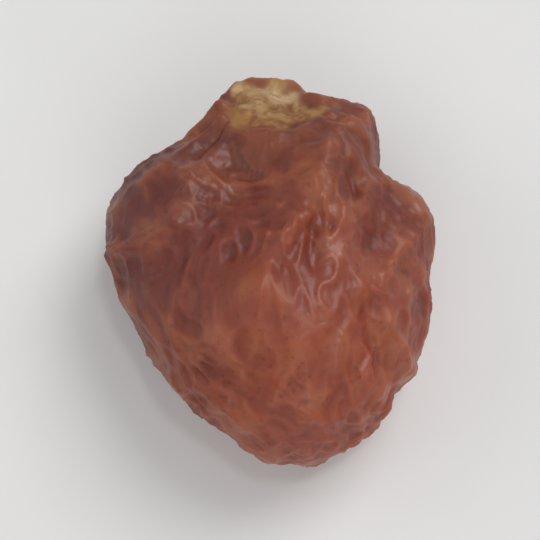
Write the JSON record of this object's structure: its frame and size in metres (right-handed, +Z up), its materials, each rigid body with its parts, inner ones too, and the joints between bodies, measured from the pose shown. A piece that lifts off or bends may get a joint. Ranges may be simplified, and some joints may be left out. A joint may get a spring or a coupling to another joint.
{
  "type": "dried physalis berry",
  "caption": "Wrinkled dried physalis berry without its husk, an uneven egg shape with a pale stem scar, lying on its flattened side.",
  "frame": {"origin": "on the table plane, under the middle of the berry", "axes": "+Y from the tip to the stem end, +X across the berry, +Z up from its flattened side"},
  "size_m": [0.0144, 0.0172, 0.0096],
  "materials": {
    "skin": "wrinkled reddish-orange dried fruit skin with a slight sticky sheen, and a pale yellow corky scar at the stem end"
  },
  "bodies": {
    "root": {"berry": "skin"}
  },
  "joints": []
}
